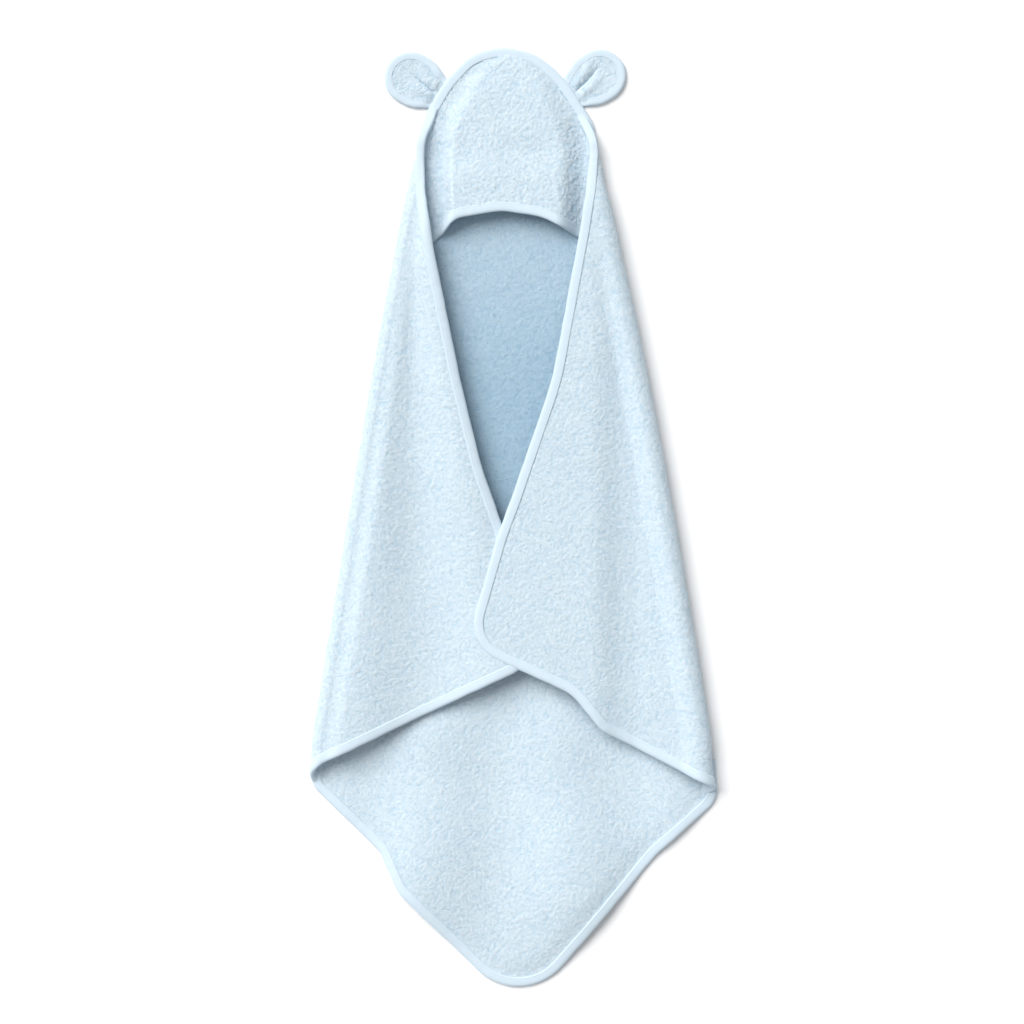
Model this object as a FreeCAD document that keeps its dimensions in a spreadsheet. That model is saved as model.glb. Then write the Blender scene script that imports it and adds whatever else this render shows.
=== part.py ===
"""Hooded baby towel with two round ears, lying face up with both sides folded in over the front.

Every cloth edge is wrapped in a binding: the terry is squeezed thin inside a U of smooth tape, so terry and tape
are flush. The frame is millimetres: +Y runs from the pointed tail to the hood, +Z is up from the surface it lies on.
"""
import FreeCAD, Part
import math
import os
from FreeCAD import Placement, Rotation, Vector

DIMENSIONS = {
    "cloth": 4.0,            # terry thickness, pile included
    "rim": 2.0,              # terry squeezed inside the binding
    "tape": 0.8,             # binding tape thickness at the cloth's edge
    "binding": 9.5,          # visible width of the binding
    "thread": 0.6,           # width of a seam's thread line
    "thread_rise": 0.4,      # how far the thread stands on the tape
    "seam_inset": 1.2,       # thread line to the binding's inner edge
    "left_level": 22.0,      # mid-height of the left flap's cloth
    "right_level": 29.0,     # mid-height of the right flap's cloth, which lies on the left one
    "play": 0.3,             # clearance between a fold and what turns on it
    "crown_start": 389.5,    # the crown lies flat above this
    "fold_top": 385.0,       # where both side folds start below the hood
    "left_fold_end": -262.0,
    "right_fold_end": -284.0,
    "tail_line": -305.0,     # where the pointed tail folds up
    "ear_layer": 2.5,        # one of an ear's two layers
    "ear_rim": 1.0,          # one layer squeezed inside the ear's binding
    "ear_length": 59.0,      # ear from the hood's edge to its tip
    "ear_start": 2.2,        # clearance between the crown's edge and the ear
    "ear_base": 40.0,        # ear width at the hood's edge
    "ear_width": 56.0,
    "hood_cloth": 3.5,       # hood panel thickness
    "mouth_lean": 36.0,      # lean of the hood mouth's plane back from upright, in degrees
    "mouth_low": 300.0,      # where the mouth meets the back panel
}

# Outlines, as (x, y, corner radius), at the binding's outer edge. Past a fold they run on, and are trimmed there.
BACK_OUTLINE = [
    (-106.5, 378, 0), (-95, 438, 25), (-13, 541.8, 65), (81, 438, 25), (91, 380, 0), (330, 380, 0),
    (330, -180, 0), (222, -264, 0), (219, -302, 22), (150, -362, 60), (4, -535, 62), (-124, -404, 40),
    (-141, -360, 40), (-220, -286, 26), (-220, -180, 0), (-330, -100, 0), (-330, 378, 0),
]
LEFT_FLAP_OUTLINE = [
    (-98, 384, 0), (-86, 290, 200), (-46, 103, 300), (-10, -10, 200), (30, -153, 42), (-106, -219, 300),
    (-214, -268, 0), (-330, -320, 0), (-330, 384, 0),
]
RIGHT_FLAP_OUTLINE = [
    (84, 384, 0), (71, 310, 200), (34, 122, 300), (-12, -4, 300), (-52, -138, 44), (62, -190, 60),
    (93, -228, 30), (213, -290, 0), (330, -350, 0), (330, 384, 0),
]
# Each side fold's outer line: a point on it, its lean from the Y axis in degrees, and which way is inward in X.
FOLDS = {
    "left": {"x": -100.2, "y": 416.8, "lean": -10.13, "inward": 1},
    "right": {"x": 87.5, "y": 416.8, "lean": 10.75, "inward": -1},
}
# Each ear: the middle of its base on the crown, and the way it points, in degrees from +X.
EARS = {
    "left": {"x": -83.5, "y": 457.0, "points": 151.4},
    "right": {"x": 65.7, "y": 457.7, "points": 32.2},
}
# The hood's arched cross-sections: (y, left edge, right edge, rise of the arch above the back panel).
HOOD_SECTIONS = [
    (262, -80, 62, 24), (320, -84, 72, 21), (380, -90, 78, 16), (430, -80, 66, 10.5), (462, -57, 44, 6.5),
    (482, -34, 12, 4.2),
]
REACH = 400              # half-size of the blocks that trim a side
TALL = 60                # height of those blocks
MIDDLE = 100             # a Y between the crown and the lower corners
ROLL_SLICES = 4          # equal slices that a fold's rolled wall is built from

doc = FreeCAD.newDocument("HoodedTowel")
sheet = doc.addObject("Spreadsheet::Sheet", "Dims")
for row, (alias, value) in enumerate(DIMENSIONS.items(), start=1):
    sheet.set(f"A{row}", alias)
    sheet.set(f"B{row}", str(value))
    sheet.setAlias(f"B{row}", alias)
doc.recompute()
finished = []


def size(alias):
    """A driving dimension, read back from the sheet."""
    return float(sheet.get(alias))


def finish(part, label):
    """Names a finished sub-part, which is then written out."""
    part.Label = label
    finished.append(part)


def rounded(points):
    """Lines and tangent arcs round a closed outline of (x, y, corner radius)."""
    corners = []
    for i, (x, y, radius) in enumerate(points):
        at = Vector(x, y, 0)
        before = (Vector(*points[i - 1][:2], 0) - at).normalize()
        after = (Vector(*points[(i + 1) % len(points)][:2], 0) - at).normalize()
        if radius:
            half = before.getAngle(after) / 2
            cut = radius / math.tan(half)
            middle = (before + after).normalize()
            centre = at + middle * (radius / math.sin(half))
            corners.append((at + before * cut, centre - middle * radius, at + after * cut))
        else:
            corners.append((at, None, at))
    edges = []
    for i, (start, middle, end) in enumerate(corners):
        if middle is not None:
            edges.append(Part.Arc(start, middle, end))
        following = corners[(i + 1) % len(corners)][0]
        edges.append(Part.LineSegment(end, following))
    return edges


def outline_sketch(name, points, level=None):
    """A closed outline in a level plane, at a height given by an expression."""
    sketch = doc.addObject("Sketcher::SketchObject", name)
    sketch.addGeometry(rounded(points), False)
    if level:
        sketch.setExpression("Placement.Base.z", level)
    return sketch


def offset(source, name, distance):
    """The outline moved by an expression's distance; minus goes inward."""
    moved = doc.addObject("Part::Offset2D", name)
    moved.Source = source
    moved.Join = 2
    moved.setExpression("Value", distance)
    return moved


def slab(source, name, up, down="0"):
    """A closed outline thickened up and down by expressions."""
    block = doc.addObject("Part::Extrusion", name)
    block.Base = source
    block.DirMode = "Custom"
    block.Dir = Vector(0, 0, 1)
    block.Solid = True
    block.setExpression("LengthFwd", up)
    block.setExpression("LengthRev", down)
    return block


def joined(kind, name, base, tool):
    """Base and tool put together by a Part::Cut, Part::Common or Part::Fuse."""
    result = doc.addObject("Part::" + kind, name)
    result.Base = base
    result.Tool = tool
    return result


def zone(name, points):
    """A tall block over an area, for trimming."""
    area = outline_sketch(name, [(x, y, 0) for x, y in points])
    return slab(area, name + "_block", str(TALL), "5")


def bound_cloth(name, points, level, layers, kept_zone):
    """Terry sheets, their shared binding and its thread line, trimmed to a zone.

    layers maps each sheet's name to (up, down, rim up, rim down), as expressions from the outline's level.
    """
    edge = outline_sketch(name + "_outline", points, level)
    raw_edge = offset(edge, name + "_raw_edge", "-Dims.tape")
    inner = offset(edge, name + "_inner_edge", "-Dims.binding")
    seam_out = offset(edge, name + "_seam_out", "-(Dims.binding - Dims.seam_inset - Dims.thread)")
    seam_in = offset(edge, name + "_seam_in", "-(Dims.binding - Dims.seam_inset)")
    sides = list(layers.values())
    top, bottom = sides[0][0], sides[-1][1]
    binding = slab(edge, name + "_full", top, bottom)
    whole = {}
    for label, (up, down, rim_up, rim_down) in layers.items():
        pile = slab(inner, label + "_pile", up, down)
        rim = slab(raw_edge, label + "_rim", rim_up, rim_down)
        whole[label] = joined("Fuse", label + "_sheet", rim, pile)
        binding = joined("Cut", label + "_wrapped", binding, whole[label])
    whole[name + "_binding"] = binding
    rise = f"{top} + Dims.thread_rise"
    band = joined("Cut", name + "_band", slab(seam_out, name + "_seam_a", rise), slab(seam_in, name + "_seam_b", rise))
    whole[name + "_stitching"] = joined("Cut", name + "_line", band, slab(edge, name + "_under", top))
    return {label: joined("Common", label, part, kept_zone) for label, part in whole.items()}


def fold_radius(side):
    """Half the height of a side's fold: its flap's top is the fold's top."""
    return (size(side + "_level") + size("cloth") / 2) / 2


def turning_point(side, y):
    """Where the middle line of a side's fold, which its flap turns on, is at y."""
    fold = FOLDS[side]
    lean = math.radians(fold["lean"])
    x = fold["x"] + (fold["y"] - y) * math.tan(lean)
    return Vector(x + fold["inward"] * (fold_radius(side) + size("play")) / math.cos(lean), y, 0)


def wall_slice(name, inward, radius, cloth, start, end):
    """A closed sketch of a roll's wall between two angles, in degrees from straight down."""
    angles = [math.radians(angle) for angle in (start, (start + end) / 2, end)]
    outer = [Vector(-inward * radius * math.sin(a), -radius * math.cos(a), 0) for a in angles]
    inner = [point * ((radius - cloth) / radius) for point in outer]
    section = doc.addObject("Sketcher::SketchObject", name)
    section.addGeometry([
        Part.Arc(*outer),
        Part.LineSegment(outer[2], inner[2]),
        Part.Arc(*inner[::-1]),
        Part.LineSegment(inner[0], outer[0]),
    ], False)
    return section


def fold_roll(side):
    """The rolled cloth between the back panel and a flap, and its bound lower end, open all through."""
    radius, cloth, width, inward = fold_radius(side), size("cloth"), size("binding"), FOLDS[side]["inward"]
    top = turning_point(side, size("fold_top"))
    bottom = turning_point(side, size(side + "_fold_end"))
    turn = Rotation(Vector(0, 0, 1), FOLDS[side]["lean"])
    along = turn.multVec(Vector(0, 1, 0))
    for label, start, length in (
        (side + "_fold", width, (top - bottom).Length - width),
        (side + "_fold_binding", 0.0, width),
    ):
        slices = []
        for i in range(ROLL_SLICES):
            step = 180 / ROLL_SLICES
            section = wall_slice(f"{label}_section{i}", inward, radius, cloth, i * step, (i + 1) * step)
            section.Placement = Placement(bottom + Vector(0, 0, radius) + along * start,
                                          turn * Rotation(Vector(1, 0, 0), 90))
            piece = doc.addObject("Part::Extrusion", f"{label}_slice{i}")
            piece.Base = section
            piece.DirMode = "Custom"
            piece.Dir = along
            piece.Solid = True
            piece.LengthFwd = length
            slices.append(piece)
        roll = doc.addObject("Part::Compound", label)
        roll.Links = slices
        finish(roll, label)


def hood_loft(name, grow):
    """The hood's arched shell, thicker all round by grow."""
    sections = []
    base, cloth = size("cloth"), size("hood_cloth")
    foot = 1.8 * cloth
    for i, (y, left, right, rise) in enumerate(HOOD_SECTIONS):
        middle = (left + right) / 2
        under = base + rise - cloth * min(1, rise / (2 * cloth)) - grow
        outer = [Vector(left - grow, base, 0), Vector(middle, base + rise + grow, 0), Vector(right + grow, base, 0)]
        inner = [Vector(right - foot - grow, base, 0), Vector(middle, under, 0), Vector(left + foot + grow, base, 0)]
        section = doc.addObject("Sketcher::SketchObject", f"{name}_section{i}")
        section.addGeometry([
            Part.Arc(*outer),
            Part.LineSegment(outer[2], inner[0]),
            Part.Arc(*inner),
            Part.LineSegment(inner[2], outer[0]),
        ], False)
        section.Placement = Placement(Vector(0, y, 0), Rotation(Vector(1, 0, 0), 90))
        sections.append(section)
    loft = doc.addObject("Part::Loft", name)
    loft.Sections = sections
    loft.Solid = True
    return loft


def mouth_block(name, start, depth):
    """A leaning block across the hood, from start to start + depth behind the mouth's plane."""
    block = doc.addObject("Part::Box", name)
    block.Length, block.Width, block.Height = 2 * REACH, depth, 3 * TALL
    lean = Rotation(Vector(1, 0, 0), -size("mouth_lean"))
    corner = Vector(-REACH, start, -TALL)
    block.Placement = Placement(Vector(0, size("mouth_low"), size("cloth")) + lean.multVec(corner), lean)
    return block


def hood():
    """The hood panel, the binding wrapped round the edge of its mouth, and that binding's thread line."""
    tape, width, thread = size("tape"), size("binding"), size("thread")
    seam = width - size("seam_inset") - thread
    panel = joined("Cut", "hood_panel", hood_loft("hood_shell", 0), mouth_block("mouth_open", tape - REACH, REACH))
    outer = hood_loft("hood_outer", tape)
    wrap = joined("Common", "mouth_wrap", outer, mouth_block("mouth_band", 0, width))
    line = joined("Common", "mouth_line", hood_loft("hood_thread", tape + size("thread_rise")),
                  mouth_block("mouth_seam", seam, thread))
    finish(panel, "hood_panel")
    finish(joined("Cut", "hood_mouth_binding", wrap, panel), "hood_mouth_binding")
    finish(joined("Cut", "hood_mouth_stitching", line, joined("Fuse", "mouth_filled", outer, panel)),
           "hood_mouth_stitching")


def ear(side):
    """One ear: front and back layers with a binding round them, open at the base."""
    place = EARS[side]
    half_base, half_tip, length = size("ear_base") / 2, size("ear_width") / 2, size("ear_length")
    root, start = -half_base, size("ear_start")
    round_tip = 0.85 * half_tip
    turn = Placement(Vector(place["x"], place["y"], 0), Rotation(Vector(0, 0, 1), place["points"]))
    corners = [(root, -half_base, 0), (0, -half_base, 2 * half_base), (length, -half_tip, round_tip),
               (length, half_tip, round_tip), (0, half_base, 2 * half_base), (root, half_base, 0)]
    points = []
    for x, y, radius in corners:
        at = turn.multVec(Vector(x, y, 0))
        points.append((at.x, at.y, radius))
    block = [turn.multVec(Vector(x, y, 0)) for x, y in
             ((start, -REACH), (2 * length, -REACH), (2 * length, REACH), (start, REACH))]
    layers = {
        side + "_ear_front": ("Dims.ear_layer", "0", "Dims.ear_rim", "0"),
        side + "_ear_back": ("0", "Dims.ear_layer", "0", "Dims.ear_rim"),
    }
    outside = zone(side + "_ear_zone", [(corner.x, corner.y) for corner in block])
    for label, part in bound_cloth(side + "_ear", points, "Dims.ear_layer", layers, outside).items():
        finish(part, label)


def side_zone(side):
    """What lies inward of a side's fold line, with play to turn on it."""
    top, bottom = turning_point(side, size("fold_top")), turning_point(side, size(side + "_fold_end"))
    inward = FOLDS[side]["inward"]
    shift = inward * size("play")
    return zone(side + "_zone", [(top.x + shift, top.y), (bottom.x + shift, bottom.y), (inward * REACH, bottom.y),
                                 (inward * REACH, top.y)])


def back_zone():
    """The back panel's area: all of the crown, between the folds, and all of the lower corners down to the tail."""
    play, crown, tail = size("play"), size("crown_start"), size("tail_line")
    ways = {}
    for side in FOLDS:
        top, bottom = turning_point(side, crown), turning_point(side, size(side + "_fold_end") - play)
        far = -FOLDS[side]["inward"] * REACH
        ways[side] = [(far, 2 * REACH), (far, top.y), (top.x, top.y), (bottom.x, bottom.y), (far, bottom.y), (far, tail)]
    return zone("back_zone", ways["left"] + ways["right"][::-1])


one_sheet = ("Dims.cloth / 2", "Dims.cloth / 2", "Dims.rim / 2", "Dims.rim / 2")

back = bound_cloth("back", BACK_OUTLINE, "Dims.cloth / 2", {"back_panel": one_sheet}, back_zone())
crown_area = zone("crown_area", [(-REACH, MIDDLE), (REACH, MIDDLE), (REACH, 2 * REACH), (-REACH, 2 * REACH)])
finish(back["back_panel"], "back_panel")
for trim in ("binding", "stitching"):
    whole_trim = back["back_" + trim]
    finish(joined("Common", "crown_" + trim, whole_trim, crown_area), "crown_" + trim)
    finish(joined("Cut", "lower_corner_" + trim, whole_trim, crown_area), "lower_corner_" + trim)

tail_top = size("tail_line") - size("play")
tail_area = zone("tail_area", [(-REACH, tail_top), (REACH, tail_top), (REACH, -2 * REACH), (-REACH, -2 * REACH)])
for label, part in bound_cloth("tail", BACK_OUTLINE, "Dims.cloth / 2", {"tail_panel": one_sheet}, tail_area).items():
    finish(part, label)

for side, outline in (("left", LEFT_FLAP_OUTLINE), ("right", RIGHT_FLAP_OUTLINE)):
    flap = side + "_flap"
    layers = {flap + "_panel": one_sheet}
    for label, part in bound_cloth(flap, outline, f"Dims.{side}_level", layers, side_zone(side)).items():
        finish(part, label)
    fold_roll(side)
    ear(side)
hood()
doc.recompute()

for thing in doc.Objects:
    if "Invalid" in thing.State or "Error" in thing.State:
        raise SystemExit(f"{thing.Name} failed: {thing.State}")
os.makedirs("parts", exist_ok=True)
for part in finished:
    shape = part.Shape
    if shape.isNull() or not shape.isValid() or not shape.Solids:
        raise SystemExit(f"{part.Label} has no valid solid")
    box = shape.optimalBoundingBox()
    print(f"{part.Label:24s} {len(shape.Solids)} solids {shape.Volume / 1000:8.2f} cm3  "
          f"x {box.XMin:7.1f} {box.XMax:7.1f}  y {box.YMin:7.1f} {box.YMax:7.1f}  z {box.ZMin:5.2f} {box.ZMax:5.2f}")
    shape.exportStep(f"parts/{part.Label}.step")
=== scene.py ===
"""The looks of the hooded baby towel: terry with a real pile, edge bindings, their stitches and a studio.

Lengths are millimetres until a mesh is made. Each piece of cloth is drawn flat, as (x, y) points, and a "lay"
function carries flat points to where the cloth's middle lies in the part's frame.
"""
import math

import bpy
import numpy as np
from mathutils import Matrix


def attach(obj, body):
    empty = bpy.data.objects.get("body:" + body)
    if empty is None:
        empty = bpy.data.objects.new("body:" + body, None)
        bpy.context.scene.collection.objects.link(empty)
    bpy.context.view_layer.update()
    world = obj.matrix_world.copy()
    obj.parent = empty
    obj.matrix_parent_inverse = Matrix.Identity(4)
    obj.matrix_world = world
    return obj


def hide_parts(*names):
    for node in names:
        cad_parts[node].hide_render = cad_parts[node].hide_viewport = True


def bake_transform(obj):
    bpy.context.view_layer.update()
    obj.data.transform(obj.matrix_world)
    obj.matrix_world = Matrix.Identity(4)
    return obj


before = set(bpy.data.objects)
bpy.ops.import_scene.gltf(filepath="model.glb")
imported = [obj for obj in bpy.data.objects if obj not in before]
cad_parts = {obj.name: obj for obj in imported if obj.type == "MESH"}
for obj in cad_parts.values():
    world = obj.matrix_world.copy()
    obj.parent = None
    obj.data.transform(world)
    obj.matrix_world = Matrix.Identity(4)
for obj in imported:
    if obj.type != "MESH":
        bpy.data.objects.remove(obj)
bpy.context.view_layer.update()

MM = 0.001
BINDING = 10.8           # width of the edge binding
BINDING_HALF = 2.6       # half its thickness
BINDING_LIFT = 0.75      # how much higher the binding's middle lies than the terry's, because it is thicker
MOUTH_BINDING_HALF = 2.2
EAR_BINDING = 9.0
EAR_BINDING_HALF = 2.5
TUCK = 4.0               # distance from a bound edge at which the terry inside the binding starts
FULL_LOFT = 10.0         # and at which it has its full thickness
FLAT_REST = 2.2          # mid-height of cloth lying on the floor
CROWN_REST = 3.1         # mid-height of the crown's edge, where two cloths share one binding
EAR_REST = 2.7           # mid-height of an ear's edge
EAR_LEVELS = {"front": 3.9, "back": 1.5}    # and of its two layers
TURN_LINE = 345.0        # above this y the front edges roll over towards the crown
LOWER_LINE = -150.0      # the back panel's cloth ends and the lower back's begins
TAIL_LINE = -305.0       # where the tail folds up
TAIL_TURN = 13.0         # half the length of cloth that bends when it does

SIDES = {
    "left": {"inward": 1, "x": -100.2, "slope": math.tan(math.radians(-10.13)), "radius": 12.0,
             "top_radius": 9.0, "bulge": 6.2, "bulge_top": 400, "bulge_length": 660, "bulge_power": 0.6},
    "right": {"inward": -1, "x": 87.5, "slope": math.tan(math.radians(10.75)), "radius": 15.5,
              "top_radius": 9.5, "bulge": 7.0, "bulge_top": 360, "bulge_length": 620, "bulge_power": 0.85},
}
FOLD_Y = 416.8           # the height at which a side's x is given
CLOTH_HALF = 2.0         # half the thickness of the terry with its pile
CROWN_RADIUS = 2.4       # the side folds' radius where they run out under the crown's binding
ROLL_TOP = 420.0         # where the side folds' terry ends
LEFT_WAVE = 6.0          # height of the left flap's wave above and below its middle
FRONT_RISE = {"left": 6.0, "right": 0.0}    # how much a flap's front edge stands above the rest of it

# Bound edges, as (x, y, corner radius), along the binding's outer edge. The cloth is on the left of each one.
LEFT_EDGE = [
    (-245, -297, 0), (-206, -265, 30), (-106, -219, 300), (30, -153, 42), (-12, -10, 260), (-35, 55, 260),
    (-58, 150, 400), (-86.5, 290, 200), (-95.2, 350, 90), (-96.5, 402, 50), (-82, 440, 0),
]
RIGHT_EDGE = [
    (65, 440, 0), (82.5, 400, 50), (77, 350, 90), (70, 305, 200), (41, 148, 300), (-3, 20, 200),
    (-18, -20, 200), (-52, -138, 44), (62, -190, 52), (93, -229, 30), (201, -285, 40), (252, -304, 0),
]
CROWN_EDGE = [
    (90, 390, 0), (87.5, 424, 40), (54, 476, 120), (22, 502, 55), (-14, 509, 60), (-48, 500, 55),
    (-76, 470, 120), (-97, 433, 60), (-104, 390, 0),
]
TAIL_EDGE = [
    (-216, -258, 0), (-220, -289, 20), (-145, -361, 36), (-126, -404, 40), (8.5, -537, 62), (155, -364, 60),
    (220.5, -306, 28), (218, -262, 0),
]
MOUTH_EDGE = [
    (-98, 288, 0), (-77, 304.5, 14), (-64, 320, 26), (-14, 329.5, 90), (30, 322, 60), (72, 300.5, 60),
    (88, 291, 0),
]
# A flap's front edge again, as the few (y, x) points that the cloth's lifts are measured from.
FRONT_LINES = {
    "left": [(-153, 30), (-10, -12), (55, -35), (150, -58), (290, -86.5), (352, -95.5)],
    "right": [(-138, -52), (-20, -18), (20, -3), (148, 41), (305, 70), (358, 79)],
}
# The ears' bases, the direction that each points in, and its pleat as (distance from the base, sideways) points.
EARS = {
    "left": {"x": -84.5, "y": 459.5, "points": 151.4, "crease": [(0, 1.3), (16, -1.0), (31, -4.1)]},
    "right": {"x": 66.2, "y": 460.7, "points": 32.2, "crease": [(0, -0.8), (17, 2.4), (34, 7.6)]},
}
EAR_EDGE = [
    (-10, -15, 0), (17, -28.5, 34), (59.5, -28.5, 28.4), (59.5, 28.5, 28.4), (17, 28.5, 34), (-10, 15, 0),
]


# ---------------------------------------------------------------- small maths

def smooth(low, high, value):
    """0 before low, 1 after high and an S-curve between."""
    t = np.clip((value - low) / (high - low), 0, 1)
    return t * t * (3 - 2 * t)


def along(value, points):
    """Straight-line interpolation in a few (position, result) points."""
    return np.interp(value, [p[0] for p in points], [p[1] for p in points])


def soft_line(value, points, blur):
    """The same with its corners rounded off over a distance."""
    return sum(along(value + blur * k / 4, points) for k in range(-4, 5)) / 9


TABLE_SIZE = 256
TABLES = {seed: np.random.default_rng(seed).random((TABLE_SIZE, TABLE_SIZE)) * 2 - 1 for seed in range(12)}


def ripple(x, y, grain, seed):
    """Smooth random bumps from -1 to 1 with a given size."""
    gx, gy = x / grain, y / grain
    ix, iy = np.floor(gx).astype(int), np.floor(gy).astype(int)
    fx, fy = gx - ix, gy - iy
    fx, fy = fx * fx * (3 - 2 * fx), fy * fy * (3 - 2 * fy)
    table = TABLES[seed]
    ix, next_x, iy, next_y = ix % TABLE_SIZE, (ix + 1) % TABLE_SIZE, iy % TABLE_SIZE, (iy + 1) % TABLE_SIZE
    low = table[ix, iy] * (1 - fx) + table[next_x, iy] * fx
    high = table[ix, next_y] * (1 - fx) + table[next_x, next_y] * fx
    return low * (1 - fy) + high * fy


def pile(flat, shift=0.0):
    """Height of the terry's loops, from 0 in the gaps to 1 at the tips: short locks that swirl about."""
    x, y = flat[..., 0] + shift, flat[..., 1] + shift
    turn = math.pi / 2 + 1.1 * ripple(x, y, 60, 1) + 1.0 * ripple(x, y, 24, 2) + 0.9 * ripple(x, y, 8, 3)
    step_x, step_y = np.cos(turn), np.sin(turn)
    locks = sum(ripple(x + step_x * k, y + step_y * k, 1.35, 4) for k in (-1.2, -0.6, 0, 0.6, 1.2)) / 5
    loops = ripple(x, y, 1.3, 5)
    return np.clip(0.5 + 0.6 * locks + 0.4 * loops, 0, 1)


NEARLY_STRAIGHT = 1.56    # half the angle of a corner that is too slight to round, in radians


def rounded(points, step=2.0):
    """A line through corners rounded to their radius, as evenly spaced points."""
    line = [np.array(points[0][:2], float)]
    for before, (x, y, radius), after in zip(points, points[1:], points[2:]):
        at = np.array((x, y), float)
        to_before, to_after = np.array(before[:2]) - at, np.array(after[:2]) - at
        lengths = np.linalg.norm(to_before), np.linalg.norm(to_after)
        to_before, to_after = to_before / lengths[0], to_after / lengths[1]
        half = math.acos(np.clip(to_before @ to_after, -1, 1)) / 2
        if half > NEARLY_STRAIGHT:
            continue
        bisector, across = to_before + to_after, to_after - to_before
        bisector, across = bisector / np.linalg.norm(bisector), across / np.linalg.norm(across)
        centre = at + bisector * radius / math.sin(half)
        for turn in np.linspace(half - math.pi / 2, math.pi / 2 - half, 24):
            line.append(centre + radius * (across * math.sin(turn) - bisector * math.cos(turn)))
    line.append(np.array(points[-1][:2], float))
    return resample(np.array(line), step)


def resample(line, step):
    """The same line with points a fixed distance apart."""
    travel = np.concatenate([[0], np.cumsum(np.linalg.norm(np.diff(line, axis=0), axis=1))])
    count = max(2, int(round(travel[-1] / step)) + 1)
    at = np.linspace(0, travel[-1], count)
    return np.stack([np.interp(at, travel, line[:, i]) for i in range(line.shape[1])], axis=1)


def edge_distance(flat, line):
    """Distance from flat points to a line."""
    best = np.full(flat.shape[:-1], 1e9)
    for start, end in zip(line[:-1], line[1:]):
        run = end - start
        t = np.clip(((flat - start) @ run) / (run @ run), 0, 1)
        gap = flat - start - t[..., None] * run
        best = np.minimum(best, np.einsum("...i,...i", gap, gap))
    return np.sqrt(best)


def inside(flat, ring):
    """Which flat points are inside a closed ring."""
    found = np.zeros(flat.shape[:-1], bool)
    for (x0, y0), (x1, y1) in zip(ring, np.roll(ring, -1, axis=0)):
        if y0 != y1:
            crosses = (flat[..., 1] < y0) != (flat[..., 1] < y1)
            found ^= crosses & (flat[..., 0] < x0 + (flat[..., 1] - y0) * (x1 - x0) / (y1 - y0))
    return found


REACH = 0.5               # how far to each side the laid cloth's slope is taken


def laid_run(lay, flat, direction):
    """How far the laid cloth goes from one side of flat points to the other, in a flat direction."""
    return lay(flat + direction * REACH) - lay(flat - direction * REACH)


def laid(lay, flat):
    """Where flat points lie, and the cloth's upward direction there."""
    normal = np.cross(laid_run(lay, flat, np.array((1, 0))), laid_run(lay, flat, np.array((0, 1))))
    return lay(flat), normal / np.linalg.norm(normal, axis=-1, keepdims=True)


# ---------------------------------------------------------------- how each piece of cloth lies

def silhouette(side, y):
    """The x of a side fold's outermost line."""
    fold = SIDES[side]
    share = np.clip((fold["bulge_top"] - y) / fold["bulge_length"], 0, 1)
    out = fold["bulge"] * np.sin(math.pi * share ** fold["bulge_power"]) - 4.5 * smooth(-232, -290, y)
    return fold["x"] + (FOLD_Y - y) * fold["slope"] - fold["inward"] * out


def fold_radius(side, y):
    """Radius of the side fold's outside, which tightens towards the crown."""
    fold = SIDES[side]
    narrow = (fold["radius"] - fold["top_radius"]) * smooth(330, 402, y)
    return fold["radius"] - narrow - (fold["top_radius"] - CROWN_RADIUS) * smooth(400, 438, y)


def left_lift(x, y, inner):
    """Soft wave across the left flap: a ridge by the fold, a valley, and a ridge by the front edge."""
    width = np.maximum(front_line("left", y) - silhouette("left", y), 8)
    wave = np.cos(2 * math.pi * (inner / width - 0.48) / 0.66)
    return -LEFT_WAVE * np.clip(width / 165, 0.1, 1) * wave


def right_lift(x, y, inner):
    """The right flap's long crease, straight down the flap, that faces left gently and right steeply."""
    drops = [(60, -0.8), (84, -0.6), (94, -2.6), (112, -9.5), (130, -13), (165, -10.5), (215, -4.5), (260, -1)]
    return soft_line(x, drops, 5) * smooth(366, 270, y)


LIFTS = {"left": left_lift, "right": right_lift}


def front_line(side, y):
    """The x of a flap's front edge."""
    return along(y, FRONT_LINES[side])


def side_lay(side, flat_top=False):
    """A side's cloth: flat on top, then round the fold to the floor. The turned edge lies on a flat top alone."""
    inward = SIDES[side]["inward"]

    def lay(flat):
        x, y = flat[..., 0], flat[..., 1]
        outline, radius = silhouette(side, y), fold_radius(side, y)
        middle = radius - CLOTH_HALF
        inner = inward * (x - outline)
        angle = math.pi - np.clip((radius - inner) / middle, 0, math.pi)
        under = np.maximum(radius - inner - math.pi * middle, 0)
        fade = smooth(0, 20, inner - radius)
        raised = FRONT_RISE[side] * smooth(45, 5, inward * (front_line(side, y) - x)) * smooth(-60, 60, y)
        top = radius + middle + LIFTS[side](x, y, inner) * fade + 0.35 * ripple(x, y, 38, 6) * fade
        top = top + raised * fade
        on_roll = (inner < radius) & (not flat_top)
        wobble = 0.5 * ripple(y, y * 0 + 7.3, 17, 7) * np.sin(angle)
        px = np.where(on_roll, outline + inward * (radius + under - (middle + wobble) * np.sin(angle)), x)
        pz = np.where(on_roll, radius - middle * np.cos(angle), top)
        return np.stack([px, y, pz], axis=-1)

    return lay


def under_fold(side, y):
    """The flat x of a side's cloth where its fold meets the floor."""
    radius = fold_radius(side, y)
    return silhouette(side, y) + SIDES[side]["inward"] * (radius - math.pi * (radius - CLOTH_HALF))


TAIL_LINE_POINTS = rounded(TAIL_EDGE, 14)


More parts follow.
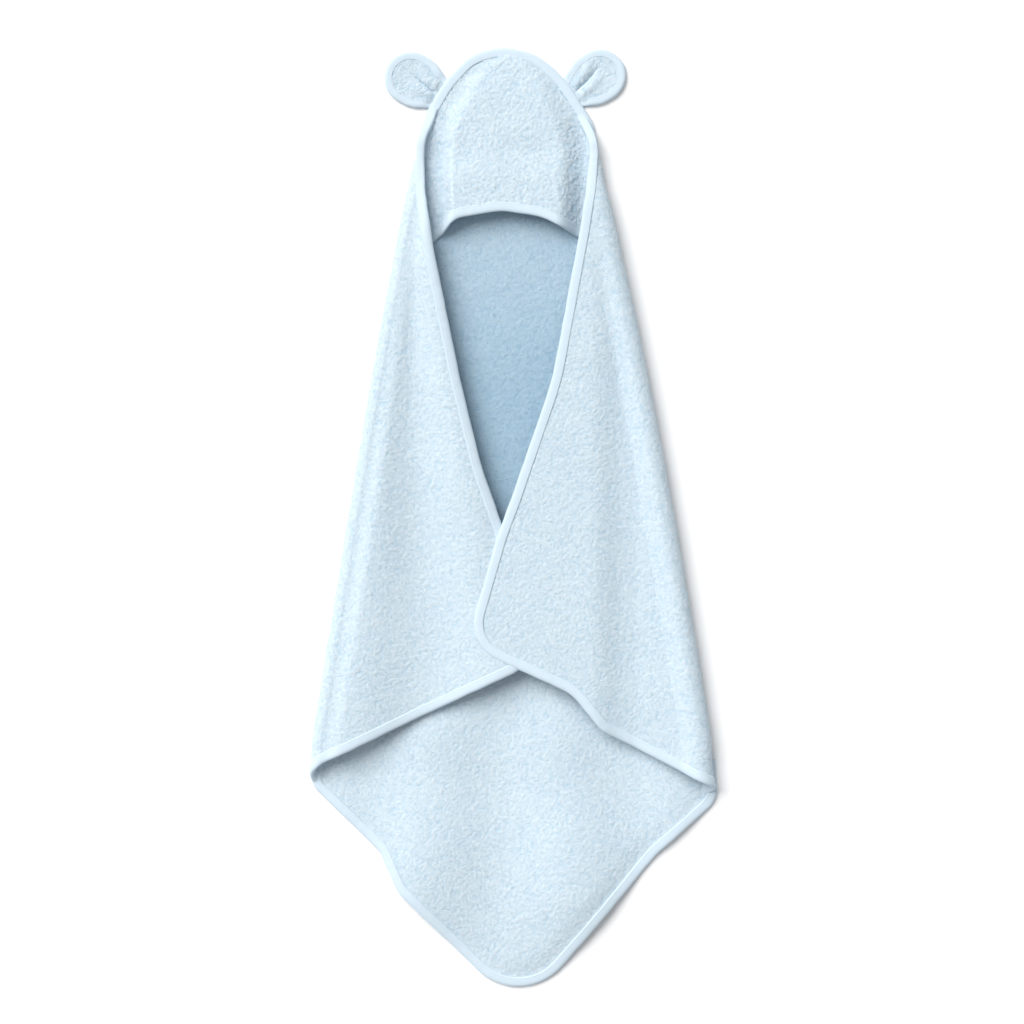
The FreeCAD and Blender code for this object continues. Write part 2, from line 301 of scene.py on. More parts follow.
def back_lay(flat):
    """The back panel and tail: nearly flat above, long fanning waves below the flaps and edges that droop."""
    x, y = flat[..., 0], flat[..., 1]
    fan = x / (1 + 0.0014 * np.maximum(-y - 220, 0))
    wave = 1 + np.cos(2 * math.pi * (fan + 80) / 130)
    swell = (3.7 + 2.5 * smooth(-270, -390, y)) * smooth(-150, -245, y) * smooth(-505, -400, y)
    swell = swell * smooth(212, 140, np.abs(x))
    gentle = 0.6 * (1 + ripple(x, y, 45, 6)) * smooth(-505, -440, y) * smooth(215, 180, np.abs(x))
    from_edge = edge_distance(flat, TAIL_LINE_POINTS)
    droop = 3.6 * smooth(3, 32, from_edge) * smooth(-272, -372, y)
    lift = BINDING_LIFT * smooth(15, 8, from_edge)
    return np.stack([x, y, FLAT_REST + swell * wave + gentle + droop + lift], axis=-1)


def crown_lay(flat):
    """Where the crown's edge lies, with the back panel and hood both inside its binding."""
    x, y = flat[..., 0], flat[..., 1]
    return np.stack([x, y, CROWN_REST + 0 * x], axis=-1)


def hood_lay(flat):
    """The hood: sewn down round the crown, arched over the mouth, and steep at its left side."""
    x, y = flat[..., 0], flat[..., 1]
    left_line = [(290, -85), (330, -76), (380, -77), (410, -79), (440, -74), (470, -58), (490, -40), (505, -12)]
    left = along(y, left_line)
    right = along(y, [(290, 72), (330, 74), (395, 77), (430, 71), (470, 46), (490, 28), (505, -6)])
    left_width = along(y, [(290, 13), (330, 11), (380, 12), (415, 17), (450, 24), (500, 24)])
    right_width = along(y, [(290, 28), (380, 30), (430, 30), (500, 24)])
    rise = soft_line(y, [(280, 19), (325, 17.5), (370, 14), (420, 11), (460, 8), (490, 3.5), (505, 1)], 12)
    across = smooth(0, 1, (x - left) / left_width) * smooth(0, 1, (right - x) / right_width)
    dimple = 1.0 * ripple(x, y, 30, 8) * across
    base = CROWN_REST + 3.4 * smooth(402, 365, y)
    return np.stack([x, y, base + rise * across + dimple], axis=-1)


def ear_lay(side, level):
    """One layer of an ear: a shallow cup with a pleat running in from its base, which is sewn in flat."""
    ear = EARS[side]
    turn = math.radians(ear["points"])
    cos, sin = math.cos(turn), math.sin(turn)

    def lay(flat):
        x, y = flat[..., 0], flat[..., 1]
        crease = along(x, ear["crease"])
        end = ear["crease"][-1][0]
        run = smooth(end + 5, end - 12, x)
        gap = np.abs(y - crease)
        spread = 6.0 + 0.1 * np.maximum(x, 0)
        fold = 1.9 * np.exp(-((gap - spread) / (0.6 * spread)) ** 2) - 2.6 * np.exp(-(gap / 1.7) ** 2)
        rim = np.hypot((x - 33) / 31, y / 27)
        cup = -0.9 * smooth(0.8, 0.2, rim)
        sewn_in = smooth(6, -3, x)
        base = CROWN_REST + (fold * run + cup) * (0.35 + 0.65 * smooth(2.0, 3.5, level)) * (1 - sewn_in)
        base = base + 0.7 * smooth(20, 50, x) - 0.9 * sewn_in
        height = base + (level - EAR_REST) * (1 - 0.5 * sewn_in)
        return np.stack([ear["x"] + cos * x - sin * y, ear["y"] + sin * x + cos * y, height], axis=-1)

    return lay


# ---------------------------------------------------------------- meshes

def new_piece(name, points, faces, uv, material):
    """A mesh object in metres with a UV map in metres of cloth."""
    mesh = bpy.data.meshes.new(name)
    mesh.from_pydata((points * MM).tolist(), [], faces)
    mesh.polygons.foreach_set("use_smooth", np.ones(len(mesh.polygons), bool))
    corners = np.empty(len(mesh.loops), int)
    mesh.loops.foreach_get("vertex_index", corners)
    layer = mesh.uv_layers.new(name="cloth")
    layer.data.foreach_set("uv", (uv * MM)[corners].astype(np.float32).ravel())
    mesh.materials.append(material)
    mesh.update()
    piece = bpy.data.objects.new(name, mesh)
    bpy.context.scene.collection.objects.link(piece)
    return piece


def add_point_values(mesh, values):
    """Named numbers on a mesh's points, for its material."""
    for label, value in values.items():
        mesh.attributes.new(label, "FLOAT", "POINT").data.foreach_set("value", value.astype(np.float32))


def sharpen(mesh, creases):
    """Marks the edges between these pairs of points as sharp."""
    ends = np.empty(2 * len(mesh.edges), int)
    mesh.edges.foreach_get("vertices", ends)
    pair_key = (len(mesh.vertices), 1)
    key = np.sort(ends.reshape(-1, 2), axis=1) @ pair_key
    sharp = np.isin(key, np.sort(creases, axis=1) @ pair_key)
    mesh.attributes.new("sharp_edge", "BOOLEAN", "EDGE").data.foreach_set("value", sharp)


# A cell's four sides: the neighbour beyond each, as (row, column) steps, and the two corners on it.
CELL_SIDES = [((-1, 0), (0, 1)), ((0, 1), (1, 2)), ((1, 0), (2, 3)), ((0, -1), (3, 0))]
BACK_SHIFT = 91.0         # how far the pattern of the back's pile is moved from the front's
BACK_UV = 400.0           # and its place on the UV map


def terry(name, lay, ring, edge, step, keep=None, thick=1.25, loft=0.8, under=1.0, columns=None, rows=None,
          tuck=None, painted_shade=None):
    """A sheet of terry with pile on both faces, squeezed thin where it goes into its binding.

    ring bounds the cloth, edge is the bound part of it, and keep picks the cells that belong to this piece.
    thick is half the ground's thickness, loft the pile's height and under the back's share of both. columns and
    rows place the grid's lines where they aren't a step apart. tuck is how far, from 0 to 1, the piece has gone
    into the next one and must be thinner, and the last argument how far it takes the opening's painted shade, a
    darker, bluer colour that stands in for the shade inside the towel's opening.
    """
    low, high = ring.min(0) - step, ring.max(0) + step
    columns = np.arange(low[0], high[0], step) if columns is None else columns
    rows = np.arange(low[1], high[1], step) if rows is None else rows
    flat = np.stack(np.meshgrid(columns, rows), axis=-1)
    gap = edge_distance(flat, edge)
    within = inside(flat, ring) & (gap > TUCK)
    cells = within[:-1, :-1] & within[:-1, 1:] & within[1:, 1:] & within[1:, :-1]
    if keep is not None:
        cells &= keep((flat[:-1, :-1] + flat[1:, 1:]) / 2)
    number = np.arange(flat.shape[0] * flat.shape[1]).reshape(flat.shape[:2])
    quads = np.stack([number[:-1, :-1], number[:-1, 1:], number[1:, 1:], number[1:, :-1]], axis=-1)
    top = quads[cells]
    around = np.pad(cells, 1)
    walls = []
    for (row, column), (first, second) in CELL_SIDES:
        beyond = around[1 + row:around.shape[0] - 1 + row, 1 + column:around.shape[1] - 1 + column]
        ends = quads[cells & ~beyond]
        walls.append(np.stack([ends[:, second], ends[:, first]], axis=1))
    used = np.unique(top)
    renumber = np.full(number.size, -1)
    renumber[used] = np.arange(len(used))
    flat_used, gap_used = flat.reshape(-1, 2)[used], gap.reshape(-1)[used]
    middle, normal = laid(lay, flat_used)
    press = smooth(TUCK + 1, FULL_LOFT, gap_used)
    upper, lower = pile(flat_used), pile(flat_used, BACK_SHIFT)
    thinner = 1 if tuck is None else 1 - 0.3 * tuck(flat_used)
    body = thick * (0.72 + 0.28 * press) * thinner
    reach = loft * (0.3 + 0.7 * press) * thinner
    points = np.concatenate([middle + normal * (body + reach * upper)[:, None],
                             middle - normal * ((body + reach * lower) * under)[:, None]])
    count = len(used)
    top = renumber[top]
    walls = renumber[np.concatenate(walls)]
    sides = np.stack([walls[:, 0], walls[:, 1], walls[:, 1] + count, walls[:, 0] + count], axis=1)
    faces = np.concatenate([top, top[:, ::-1] + count, sides])
    uv = np.concatenate([flat_used, flat_used + BACK_UV])
    piece = new_piece(name, points, faces.tolist(), uv, MATERIALS["terry"])
    # How far each point takes the opening's painted shade; the back face takes none.
    painted_shading = np.zeros(count) if painted_shade is None else painted_shade(flat_used)
    # The pile's height also goes to the material, where it sets the gaps' painted shade.
    values = {"pile": np.concatenate([upper, lower]), "painted_shade": np.concatenate([painted_shading, 0 * painted_shading])}
    add_point_values(piece.data, values)
    sharpen(piece.data, np.concatenate([walls, walls + count]))
    # This area is right for an even grid. It is too large for the back panel's, which is finer in the middle.
    piece["flat_area"] = float(cells.sum() * np.diff(columns).mean() * np.diff(rows).mean()) * MM * MM
    spread = flat_used.max(0) - flat_used.min(0)
    piece["flat_width"], piece["flat_length"] = float(spread[0]) * MM, float(spread[1]) * MM
    return piece


# Upper half of the binding's section, as shares of its width from the outer edge and of its half-thickness.
SECTION = [
    (0, 0), (0.04, 0.52), (0.13, 0.84), (0.3, 1.0), (0.52, 1.0), (0.74, 0.98), (0.9, 0.9), (0.98, 0.74),
]
STITCH_PITCH = 3.1
STITCH_LENGTH = 2.1
STITCH_RADIUS = 0.34
STITCH_LINE = 0.86        # where the stitches run, as a share of the binding's width


def line_directions(line):
    """A line's direction at each of its points, and the direction to its left."""
    tangent = np.gradient(line, axis=0)
    tangent /= np.linalg.norm(tangent, axis=1, keepdims=True)
    return tangent, np.stack([-tangent[:, 1], tangent[:, 0]], axis=1)


def binding(name, lay, line, width=BINDING, half=BINDING_HALF, span=None):
    """A strip of jersey wrapped over a cloth edge: rounded outside, dipping to its stitches inside.

    span is the part of the line that it covers.
    """
    travel = np.concatenate([[0], np.cumsum(np.linalg.norm(np.diff(line, axis=0), axis=1))])
    inward = line_directions(line)[1]
    width, half = np.broadcast_to(width, travel.shape), np.broadcast_to(half, travel.shape)
    if span is not None:
        travel, line, inward, width, half = travel[span], line[span], inward[span], width[span], half[span]
    section = SECTION + [(across, -high) for across, high in SECTION[:0:-1]]
    rings, uvs = [], []
    for across, high in section:
        edge_pull = smooth(0.7, 1.0, across)
        dips = 0.09 * edge_pull * np.cos(2 * math.pi * travel / STITCH_PITCH)
        pucker = 1 + 0.05 * ripple(travel, travel * 0 + across * 3, 5.5, 9) + dips
        slip = 0.25 * ripple(travel, travel * 0, 14, 10) * smooth(0.3, 0, across)
        uv_across = across * width + (20 if high < 0 else 0)
        flat = line + inward * (across * width + slip)[:, None]
        middle, normal = laid(lay, flat)
        rings.append(middle + normal * (high * half * pucker)[:, None])
        uvs.append(np.stack([travel, uv_across], axis=1))
    sides, count = len(section), len(line)
    points = np.stack(rings, axis=1).reshape(-1, 3)
    number = np.arange(count * sides).reshape(count, sides)
    ahead = np.roll(number, -1, axis=1)
    faces = np.stack([number[:-1], number[1:], ahead[1:], ahead[:-1]], axis=-1).reshape(-1, 4)
    points = np.concatenate([points, points[number[0]], points[number[-1]]])
    uv = np.stack(uvs, axis=1).reshape(-1, 2)
    uv = np.concatenate([uv, uv[number[0]], uv[number[-1]]])
    faces = faces.tolist()
    # Both ends are closed with faces that join the section's lower half to its upper half.
    for first in (count * sides, (count + 1) * sides):
        for a in range(sides // 2):
            cap = [first + a, first + a + 1, first + (-a - 1) % sides, first + -a % sides]
            faces.append(list(dict.fromkeys(cap)))
    faces = [face for face in faces if len(face) > 2]
    return new_piece(name, points, faces, uv, MATERIALS["binding"])


def stitching(name, lay, line, width=BINDING, half=BINDING_HALF):
    """A row of lockstitches near the binding's inner edge: short slack loops of thread, sunk at both ends."""
    fine = resample(line, STITCH_PITCH)
    tangent, inward = line_directions(fine)
    centre = fine + inward * (STITCH_LINE * width)
    points, faces, uvs = [], [], []
    rings, sides = 5, 6
    for k in range(rings):
        share = 2 * k / (rings - 1) - 1
        flat = centre + tangent * (share * STITCH_LENGTH / 2)
        middle, normal = laid(lay, flat)
        reach = STITCH_RADIUS * (0.35 + 0.65 * (1 - share ** 2))
        height = 0.93 * half + 0.28 - 0.5 * share ** 2
        run = laid_run(lay, flat, tangent)
        across = np.cross(normal, run / np.linalg.norm(run, axis=-1, keepdims=True))
        for side in range(sides):
            turn = 2 * math.pi * side / sides
            points.append(middle + normal * (height + reach * math.sin(turn))
                          + across * (reach * math.cos(turn)))
            uvs.append(np.stack([flat[:, 0] + flat[:, 1], np.full(len(flat), side * 0.4)], axis=1))
    points = np.stack(points, axis=1)
    each = rings * sides
    base = (np.arange(len(fine)) * each)[:, None]
    for k in range(rings - 1):
        for side in range(sides):
            nxt = (side + 1) % sides
            corners = (k * sides + side, (k + 1) * sides + side, (k + 1) * sides + nxt, k * sides + nxt)
            faces.append(base + np.array(corners))
    faces = np.concatenate(faces).tolist()
    for first in base[:, 0].tolist():
        faces.append([first + i for i in range(sides)])
        faces.append([first + each - 1 - i for i in range(sides)])
    uv = np.stack(uvs, axis=1).reshape(-1, 2)
    return new_piece(name, points.reshape(-1, 3), faces, uv, MATERIALS["thread"])


# ---------------------------------------------------------------- materials

def fabric(name, colour, roughness, sheen, sheen_roughness):
    """A cloth material with its constant finish, its node tree and its shader."""
    material = bpy.data.materials.new(name)
    material.use_nodes = True
    tree = material.node_tree
    shader = tree.nodes["Principled BSDF"]
    shader.inputs["Base Color"].default_value = (*colour, 1)
    shader.inputs["Roughness"].default_value = roughness
    shader.inputs["Sheen Weight"].default_value = sheen
    shader.inputs["Sheen Roughness"].default_value = sheen_roughness
    shader.inputs["Sheen Tint"].default_value = (0.93, 0.97, 1.0, 1)
    shader.inputs["Specular IOR Level"].default_value = 0.15
    return material, tree, shader


def add(tree, kind, **inputs):
    """A node with inputs set to numbers or joined to other nodes' outputs, by their names or as i0, i1."""
    node = tree.nodes.new(kind)
    for label, value in inputs.items():
        by_number = label[0] == "i" and label[1:].isdigit()
        socket = node.inputs[int(label[1:]) if by_number else label]
        if isinstance(value, bpy.types.NodeSocket):
            tree.links.new(value, socket)
        else:
            socket.default_value = value
    return node


def noise(tree, scale, detail, vector):
    """Noise over the cloth's own coordinates. Its scale is in grains per metre."""
    return add(tree, "ShaderNodeTexNoise", Vector=vector, Scale=scale, Detail=detail, Roughness=0.6)


def ramp(tree, value, stops):
    """A colour ramp from (position, colour) stops."""
    node = add(tree, "ShaderNodeValToRGB", Fac=value)
    elements = node.color_ramp.elements
    while len(elements) < len(stops):
        elements.new(0.5)
    for element, (position, colour) in zip(elements, stops):
        element.position = position
        element.color = (*colour, 1)
    return node.outputs["Color"]


def mixed(tree, kind, factor, first, second):
    """Two colours blended."""
    node = tree.nodes.new("ShaderNodeMix")
    node.data_type = "RGBA"
    node.blend_type = kind
    for socket, value in ((node.inputs[0], factor), (node.inputs[6], first), (node.inputs[7], second)):
        if isinstance(value, bpy.types.NodeSocket):
            tree.links.new(value, socket)
        else:
            socket.default_value = value
    return node.outputs[2]


TERRY_TIP = (0.76, 0.87, 0.945)
TERRY_MIDDLE = (0.685, 0.82, 0.915)
# The gaps' colour is painted shade: the low parts of the pile are darkened and blued for the shade between the
# loops.
TERRY_GAP_PAINTED_SHADE = (0.52, 0.705, 0.84)
PAINTED_SHADE_TINT = (0.60, 0.72, 0.80)    # painted shade: what the terry's colour is multiplied by inside the opening, for the shade there
WHITE = (1, 1, 1)


def grey(level):
    """A grey as a colour."""
    return (level, level, level)


def terry_material():
    """Cotton terry: pale tips and darker, bluer gaps between the loops, partly painted shade where the pile is
    low and partly random curls; fine curly loops and lint as bump.
    """
    material, tree, shader = fabric("pale_blue_terry", TERRY_TIP, 0.96, 0.3, 0.5)
    cloth = add(tree, "ShaderNodeUVMap").outputs["UV"]
    height = add(tree, "ShaderNodeAttribute")
    height.attribute_name = "pile"
    curls = noise(tree, 680, 3.0, cloth)
    curls.inputs["Distortion"].default_value = 2.2
    fine = curls.outputs["Fac"]
    # Low pile gets the gaps' painted shade; the curls add random variation to it.
    low = add(tree, "ShaderNodeMath", i0=height.outputs["Fac"], i1=0.35)
    low.operation = "MULTIPLY"
    total = add(tree, "ShaderNodeMath", i0=low.outputs[0], i1=fine)
    total.operation = "ADD"
    colour = ramp(tree, total.outputs[0], [(0.46, TERRY_GAP_PAINTED_SHADE), (0.64, TERRY_MIDDLE), (0.86, TERRY_TIP)])
    clouds = noise(tree, 22, 2.0, cloth).outputs["Fac"]
    patches = ramp(tree, clouds, [(0.3, (0.965, 0.975, 0.985)), (0.7, WHITE)])
    # Painted shade inside the towel's opening: the colour is multiplied towards a darker, bluer one there.
    painted_shade = add(tree, "ShaderNodeAttribute")
    painted_shade.attribute_name = "painted_shade"
    painted_shading = ramp(tree, painted_shade.outputs["Fac"], [(0.0, WHITE), (1.0, PAINTED_SHADE_TINT)])
    patched = mixed(tree, "MULTIPLY", 1.0, colour, patches)
    tree.links.new(mixed(tree, "MULTIPLY", 1.0, patched, painted_shading), shader.inputs["Base Color"])
    loops = add(tree, "ShaderNodeBump", Strength=1.0, Distance=0.0012, Height=fine)
    lint = add(tree, "ShaderNodeBump", Strength=0.35, Distance=0.0003,
               Height=noise(tree, 3200, 2.0, cloth).outputs["Fac"], Normal=loops.outputs["Normal"])
    tree.links.new(lint.outputs["Normal"], shader.inputs["Normal"])
    rough = ramp(tree, fine, [(0.3, grey(0.98)), (0.7, grey(0.88))])
    tree.links.new(rough, shader.inputs["Roughness"])
    return material


def binding_material():
    """Cotton jersey tape: fine ribs along its length, faint slubs and a soft sheen."""
    material, tree, shader = fabric("pale_blue_jersey_binding", (0.60, 0.71, 0.795), 0.8, 0.2, 0.35)
    cloth = add(tree, "ShaderNodeUVMap").outputs["UV"]
    ribs = add(tree, "ShaderNodeTexWave", Vector=cloth, Scale=210.0, Distortion=1.2)
    ribs.bands_direction = "Y"
    ribs.inputs["Detail"].default_value = 1.0
    courses = add(tree, "ShaderNodeTexWave", Vector=cloth, Scale=260.0, Distortion=0.8)
    slubs = noise(tree, 130, 3.0, cloth).outputs["Fac"]
    base = ramp(tree, slubs, [(0.25, (0.585, 0.70, 0.79)), (0.75, (0.62, 0.725, 0.805))])
    tint = ramp(tree, ribs.outputs["Fac"], [(0.0, (0.955, 0.97, 0.98)), (0.6, WHITE)])
    tree.links.new(mixed(tree, "MULTIPLY", 1.0, base, tint), shader.inputs["Base Color"])
    first = add(tree, "ShaderNodeBump", Strength=0.3, Distance=0.0002, Height=ribs.outputs["Fac"])
    second = add(tree, "ShaderNodeBump", Strength=0.2, Distance=0.00015, Height=courses.outputs["Fac"],
                 Normal=first.outputs["Normal"])
    third = add(tree, "ShaderNodeBump", Strength=0.3, Distance=0.0005, Height=slubs,
                Normal=second.outputs["Normal"])
    tree.links.new(third.outputs["Normal"], shader.inputs["Normal"])
    rough = ramp(tree, slubs, [(0.3, grey(0.74)), (0.7, grey(0.86))])
    tree.links.new(rough, shader.inputs["Roughness"])
    return material


def thread_material():
    """Polyester sewing thread, twisted, a little glossier than the cotton."""
    material, tree, shader = fabric("pale_blue_thread", (0.72, 0.82, 0.89), 0.6, 0.1, 0.3)
    cloth = add(tree, "ShaderNodeUVMap").outputs["UV"]
    twist = add(tree, "ShaderNodeTexWave", Vector=cloth, Scale=700.0, Distortion=0.5)
    twist.bands_direction = "DIAGONAL"
    tint = ramp(tree, twist.outputs["Fac"], [(0.0, (0.60, 0.73, 0.83)), (0.7, (0.76, 0.85, 0.91))])
    tree.links.new(tint, shader.inputs["Base Color"])
    bump = add(tree, "ShaderNodeBump", Strength=0.4, Distance=0.0001, Height=twist.outputs["Fac"])
    tree.links.new(bump.outputs["Normal"], shader.inputs["Normal"])
    rough = ramp(tree, twist.outputs["Fac"], [(0.0, grey(0.66)), (1.0, grey(0.52))])
    tree.links.new(rough, shader.inputs["Roughness"])
    return material


MATERIALS = {"terry": terry_material(), "binding": binding_material(), "thread": thread_material()}


# ---------------------------------------------------------------- the towel

def place(piece, nodes, body=None, bend=None):
    """Hides the CAD nodes a piece stands for, and parents it to its body or, for a piece on a joint, bakes its
    transform.
    """
    if nodes:
        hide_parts(*nodes)
    if bend:
        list(bend[:2])
        tuple(v * MM for v in bend[2])
        tuple(v * MM for v in bend[3])
        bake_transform(piece)
    else:
        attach(piece, body)
    return piece


def declare(piece, slanting=False):
    """Works out the flat size a piece of terry was drawn at; nothing is done with it.

    A slanting strip is narrower than the box around it, so its width comes from its area. It narrows towards the
    crown, so it is wider at its widest than its area says.
    """
    width, length = piece["flat_width"], piece["flat_length"]
    widest = 1.1             # as a share of the mean width
    if slanting:
        width = widest * piece["flat_area"] / length


TERRY_STEP = 1.22         # the terry's grid where its pile shows
FINE_STEP = 1.5           # the back panel's, inside the opening
COARSE_STEP = 4.0         # and where the flaps and the hood cover it
TUCKED = 3.2              # how far one piece of a cloth goes into the next one
TUCKED_POINTS = 3         # the same for a strip of binding, in points along its line
TUCKED_SHARE = 0.86       # how thick that end of the strip is, as a share of its full thickness
BACK_OVERLAP = 3.0        # how far the back's cloth goes under each side fold


def make_side(side):
    """A side's cloth, in two pieces that meet where its flap starts to turn, with the binding of its edge."""
    flap, inward = side + "_flap", SIDES[side]["inward"]
    lay = side_lay(side)
    line = rounded(LEFT_EDGE if side == "left" else RIGHT_EDGE)
    low, high = (line[0], line[-1]) if side == "left" else (line[-1], line[0])
    heights = np.linspace(high[1], low[1], 90)
    far = np.stack([under_fold(side, heights), heights], axis=1)
    ring = np.concatenate([line, far if side == "left" else far[::-1]])
    ring = ring[ring[:, 1] < ROLL_TOP]

    def past_fold(flat):
        """How far flat points are beyond the line where the flap ends and the fold starts."""
        inner = inward * (flat[..., 0] - silhouette(side, flat[..., 1]))
        return np.maximum(fold_radius(side, flat[..., 1]) - inner, flat[..., 1] - TURN_LINE)

    top = 2 * SIDES[side]["radius"] - 2 * CLOTH_HALF + 1
    bend = ("root", flap, (0, 0, 0), (0, 0, top))
    cloth = terry(flap + "_terry", lay, ring, line, TERRY_STEP, keep=lambda flat: past_fold(flat) < 0)
    roll = terry(side + "_fold_terry", lay, ring, line, TERRY_STEP, keep=lambda flat: past_fold(flat) > -TUCKED,
                 tuck=lambda flat: smooth(0.2, -1.6, past_fold(flat)))
    place(cloth, [flap + "_panel"], body=flap)
    place(roll, [side + "_fold"], bend=bend)
    on_end = inward * (line[:, 0] - silhouette(side, line[:, 1])) < fold_radius(side, line[:, 1])
    turned = line[:, 1] > TURN_LINE
    ended = on_end & (line[:, 1] < 0)
    width = BINDING - 1.6 * smooth(TURN_LINE, 400, line[:, 1])
    strips = [
        ("turn", turned, side + "_turned_front_edge", []),
        ("fold", ended, side + "_fold_edge", [side + "_fold_binding"]),
        ("flap", ~turned & ~ended, flap + "_edge", [flap + "_binding"]),
    ]
    for part, chosen, name, nodes in strips:
        on_flap = part == "flap"
        which = np.flatnonzero(chosen)
        reach = 0 if on_flap else TUCKED_POINTS
        span = slice(max(which[0] - 1 - reach, 0), which[-1] + 2 + reach)
        half = BINDING_HALF * np.where(chosen | on_flap, 1, TUCKED_SHARE)
        strip_lay = side_lay(side, flat_top=part == "turn")
        strip = binding(name, strip_lay, line, width=width, half=half, span=span)
        if on_flap:
            place(strip, nodes, body=flap)
            seam = stitching(flap + "_seam", lay, line[span])
            place(seam, [flap + "_stitching"], body=flap)
        else:
            place(strip, nodes, bend=bend)
    declare(cloth)
    declare(roll, slanting=True)


def painted_shade_in_opening(flat):
    """Painted shade: 1 on the part of the back panel inside the towel's opening, fading out under the flaps and
    the hood.
    """
    x, y = flat[..., 0], flat[..., 1]
    left, right = front_line("left", np.maximum(y, 20)), front_line("right", np.maximum(y, 20))
    start, full = 105, 2      # distances outside the opening's edges
    across = smooth(left - start, left - full, x) * smooth(right + start, right + full, x)
    return across * smooth(-148, 10, y) * (1 - 0.3 * smooth(120, 290, y))


def back_side(side, heights):
    """The back's side: the line just past where the side fold leaves the floor."""
    reach = SIDES[side]["inward"] * (fold_radius(side, heights) - BACK_OVERLAP)
    return np.stack([silhouette(side, heights) + reach, heights], axis=1)


def mixed_grid(start, fine_start, fine_end, end):
    """A grid's lines, fine in the middle and coarse at both ends."""
    return np.concatenate([np.arange(start, fine_start, COARSE_STEP), np.arange(fine_start, fine_end, FINE_STEP),
                           np.arange(fine_end, end, COARSE_STEP)])


def make_back_panel():
    """The back panel, from the crown to where the flaps cover it no more, and the crown's bound edge."""
    heights = np.linspace(412, LOWER_LINE - 2, 80)
    crown = rounded(CROWN_EDGE)
    ring = np.concatenate([crown[5:-5], back_side("left", heights), back_side("right", heights)[::-1]])
    # Inside the opening the panel gets painted shade, a darker, bluer colour standing in for the shade there.
    panel = terry("back_panel_terry", back_lay, ring, crown, COARSE_STEP, under=0.9,
                  columns=mixed_grid(-222, -96, 82, 224), rows=mixed_grid(LOWER_LINE - 1, -12, 345, 510),
                  keep=lambda flat: flat[..., 1] > LOWER_LINE, painted_shade=painted_shade_in_opening)
    place(panel, ["back_panel"], body="root")
    edge = place(binding("crown_edge", crown_lay, crown), ["crown_binding"], body="root")
    seam = place(stitching("crown_seam", crown_lay, crown), ["crown_stitching"], body="root")
    declare(panel)


def make_tail():
    """The lower back with its two corners, and the tail with the cloth that bends when it folds."""
    line = rounded(TAIL_EDGE)
    heights = np.linspace(LOWER_LINE + 3, -266, 50)
    ring = np.concatenate([line, back_side("right", heights)[::-1], back_side("left", heights)])
    bend = ("root", "tail", (0, TAIL_LINE + TAIL_TURN, 0), (0, TAIL_LINE - TAIL_TURN, 0))
    split = TAIL_LINE + TAIL_TURN + 2
    lower = terry("lower_back_terry", back_lay, ring, line, TERRY_STEP, under=0.9,
                  keep=lambda flat: (flat[..., 1] < LOWER_LINE + 1) & (flat[..., 1] > split))
    place(lower, ["back_panel"], body="root")
    tail = terry("tail_terry", back_lay, ring, line, TERRY_STEP, under=0.9,
                 keep=lambda flat: flat[..., 1] < split + TUCKED,
                 tuck=lambda flat: smooth(0.2, 1.8, flat[..., 1] - split))
    place(tail, ["tail_panel"], bend=bend)
    which = np.flatnonzero(line[:, 1] < TAIL_LINE + TAIL_TURN)
    corners = {"left": line[:which[0] + 1], "right": line[which[-1]:]}
    stretch = line[which[0]:which[-1] + 1]
    hem = [place(binding("tail_edge", back_lay, stretch), ["tail_binding"], bend=bend),
           place(stitching("tail_seam", back_lay, stretch), ["tail_stitching"], bend=bend)]
    for side, corner in corners.items():
        strip = binding(side + "_lower_corner_edge", back_lay, corner)
        place(strip, ["lower_corner_binding"], body="root")
        thread = stitching(side + "_lower_corner_seam", back_lay, corner)
        place(thread, ["lower_corner_stitching"], body="root")
    declare(lower)
    declare(tail)


def make_hood():
    """The hood panel and the binding round its mouth."""
    mouth = rounded(MOUTH_EDGE, 1.5)
    crown = rounded(CROWN_EDGE)
    left = np.array([(-101, 395), (-98, 340), (-95, 300)])
    right = np.array([(86, 395), (84, 340), (84, 300)])
    ring = np.concatenate([mouth[3:-3], right[::-1], crown, left])
    edge = np.concatenate([mouth, crown])
    panel = terry("hood_terry", hood_lay, ring, edge, 1.15, thick=1.1, loft=1.15)
    place(panel, ["hood_panel"], body="root")
    strip = binding("hood_mouth_edge", hood_lay, mouth, half=MOUTH_BINDING_HALF)
    place(strip, ["hood_mouth_binding"], body="root")
    seam = stitching("hood_mouth_seam", hood_lay, mouth, half=MOUTH_BINDING_HALF)
    place(seam, ["hood_mouth_stitching"], body="root")
    declare(panel)


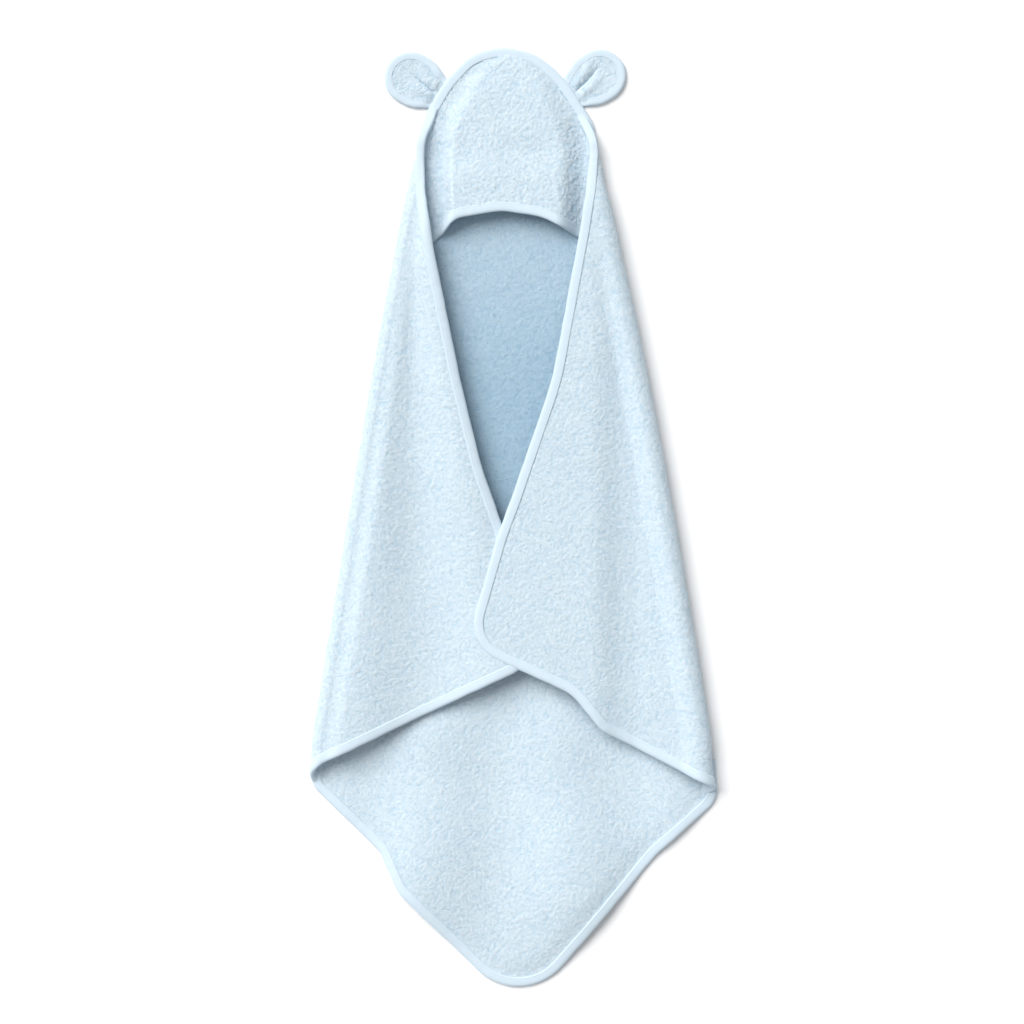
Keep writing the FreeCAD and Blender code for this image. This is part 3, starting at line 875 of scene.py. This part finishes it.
def make_ear(side):
    """One ear: two layers of terry, their binding and its stitches."""
    body, ear = side + "_ear", EARS[side]
    line = rounded(EAR_EDGE, 1.2)
    turn = math.radians(ear["points"])
    start, end = [(ear["x"] + reach * math.cos(turn), ear["y"] + reach * math.sin(turn), 0) for reach in (-1, 7)]
    bend = ("root", body, start, end)
    edge_lay = ear_lay(side, EAR_REST)
    half = EAR_BINDING_HALF - 1.2 * smooth(7, -2, line[:, 0])
    strip = binding(body + "_edge", edge_lay, line, width=EAR_BINDING, half=half)
    place(strip, [body + "_binding"], bend=bend)
    seam = stitching(body + "_seam", edge_lay, line, width=EAR_BINDING, half=EAR_BINDING_HALF)
    place(seam, [body + "_stitching"], bend=bend)
    for layer, level in EAR_LEVELS.items():
        sheet = terry(f"{body}_{layer}_terry", ear_lay(side, level), line, line[2:-2], 0.9, thick=0.6, loft=0.75,
                      under=0.8)
        place(sheet, [f"{body}_{layer}"], bend=bend)
        declare(sheet)


make_back_panel()
make_tail()
for towel_side in SIDES:
    make_side(towel_side)
    make_ear(towel_side)
make_hood()


# ---------------------------------------------------------------- studio

def make_floor():
    """A wide pale floor of matt paper."""
    reach = 15.0
    mesh = bpy.data.meshes.new("floor")
    mesh.from_pydata([(-reach, -reach, 0), (reach, -reach, 0), (reach, reach, 0), (-reach, reach, 0)], [],
                     [(0, 1, 2, 3)])
    floor = bpy.data.objects.new("floor", mesh)
    bpy.context.scene.collection.objects.link(floor)
    material = bpy.data.materials.new("pale_paper")
    material.use_nodes = True
    shader = material.node_tree.nodes["Principled BSDF"]
    shader.inputs["Base Color"].default_value = (0.94, 0.94, 0.945, 1)
    shader.inputs["Roughness"].default_value = 1.0
    shader.inputs["Specular IOR Level"].default_value = 0.0
    mesh.materials.append(material)


def make_light():
    """A very soft key from the upper left and an even white surround."""
    world = bpy.data.worlds.new("studio")
    bpy.context.scene.world = world
    world.use_nodes = True
    background = world.node_tree.nodes["Background"]
    background.inputs["Color"].default_value = (0.96, 0.985, 1.0, 1)
    background.inputs["Strength"].default_value = 0.44
    lamp = bpy.data.lights.new("key", "SUN")
    lamp.energy = 3.55
    lamp.angle = math.radians(46)
    lamp.color = (1.0, 0.985, 0.97)
    key = bpy.data.objects.new("key", lamp)
    key.rotation_euler = (math.radians(-30), math.radians(-32), 0)
    bpy.context.scene.collection.objects.link(key)


def make_camera():
    """A long lens straight above the towel."""
    height, cloth_height, width_seen, sensor = 3.0, 0.015, 1.1028, 36.0
    data = bpy.data.cameras.new("camera")
    data.sensor_width = sensor
    data.lens = sensor * (height - cloth_height) / width_seen
    camera = bpy.data.objects.new("camera", data)
    camera.location = (-0.00215, 0.0054, height)
    bpy.context.scene.collection.objects.link(camera)
    bpy.context.scene.camera = camera


make_floor()
make_light()
make_camera()
bpy.context.scene.view_settings.view_transform = "Standard"
bpy.context.view_layer.update()
